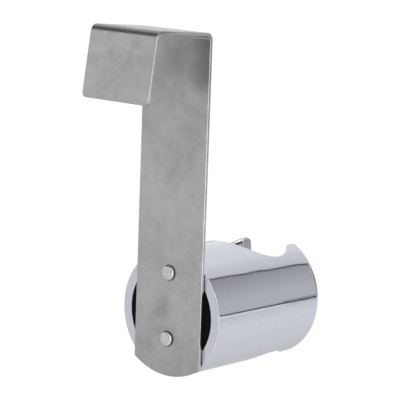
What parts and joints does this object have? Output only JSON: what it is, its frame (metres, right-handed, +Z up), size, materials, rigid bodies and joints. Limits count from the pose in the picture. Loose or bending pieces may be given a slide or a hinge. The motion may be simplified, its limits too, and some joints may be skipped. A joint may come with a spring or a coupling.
{
  "type": "over-tank hand sprayer holder",
  "caption": "Bent steel strap that hooks over a tank rim, with a chromed open-fronted round holder that a hand sprayer drops into.",
  "frame": {"origin": "middle of the underside of the hook's top, where it rests on the tank's rim", "axes": "+Z up along the strap, +Y from the hook's lip through the strap to the holder's open front, +X across the strap"},
  "size_m": [0.044, 0.0866, 0.1218],
  "materials": {
    "brushed_stainless": "satin stainless sheet",
    "bright_chrome": "bright chrome plating on moulded ABS",
    "black_plastic": "moulded black, fine texture",
    "rivet_steel": "formed stainless, polished by the rivet tool",
    "washer_steel": "stamped stainless",
    "screw_steel": "plain steel"
  },
  "bodies": {
    "root": {"hook_strap": "brushed_stainless", "holder_shell": "bright_chrome", "mounting_seat": "black_plastic", "upper_rivet": "rivet_steel", "lower_rivet": "rivet_steel", "upper_washer": "washer_steel", "lower_washer": "washer_steel", "set_screw": "screw_steel"}
  },
  "joints": []
}
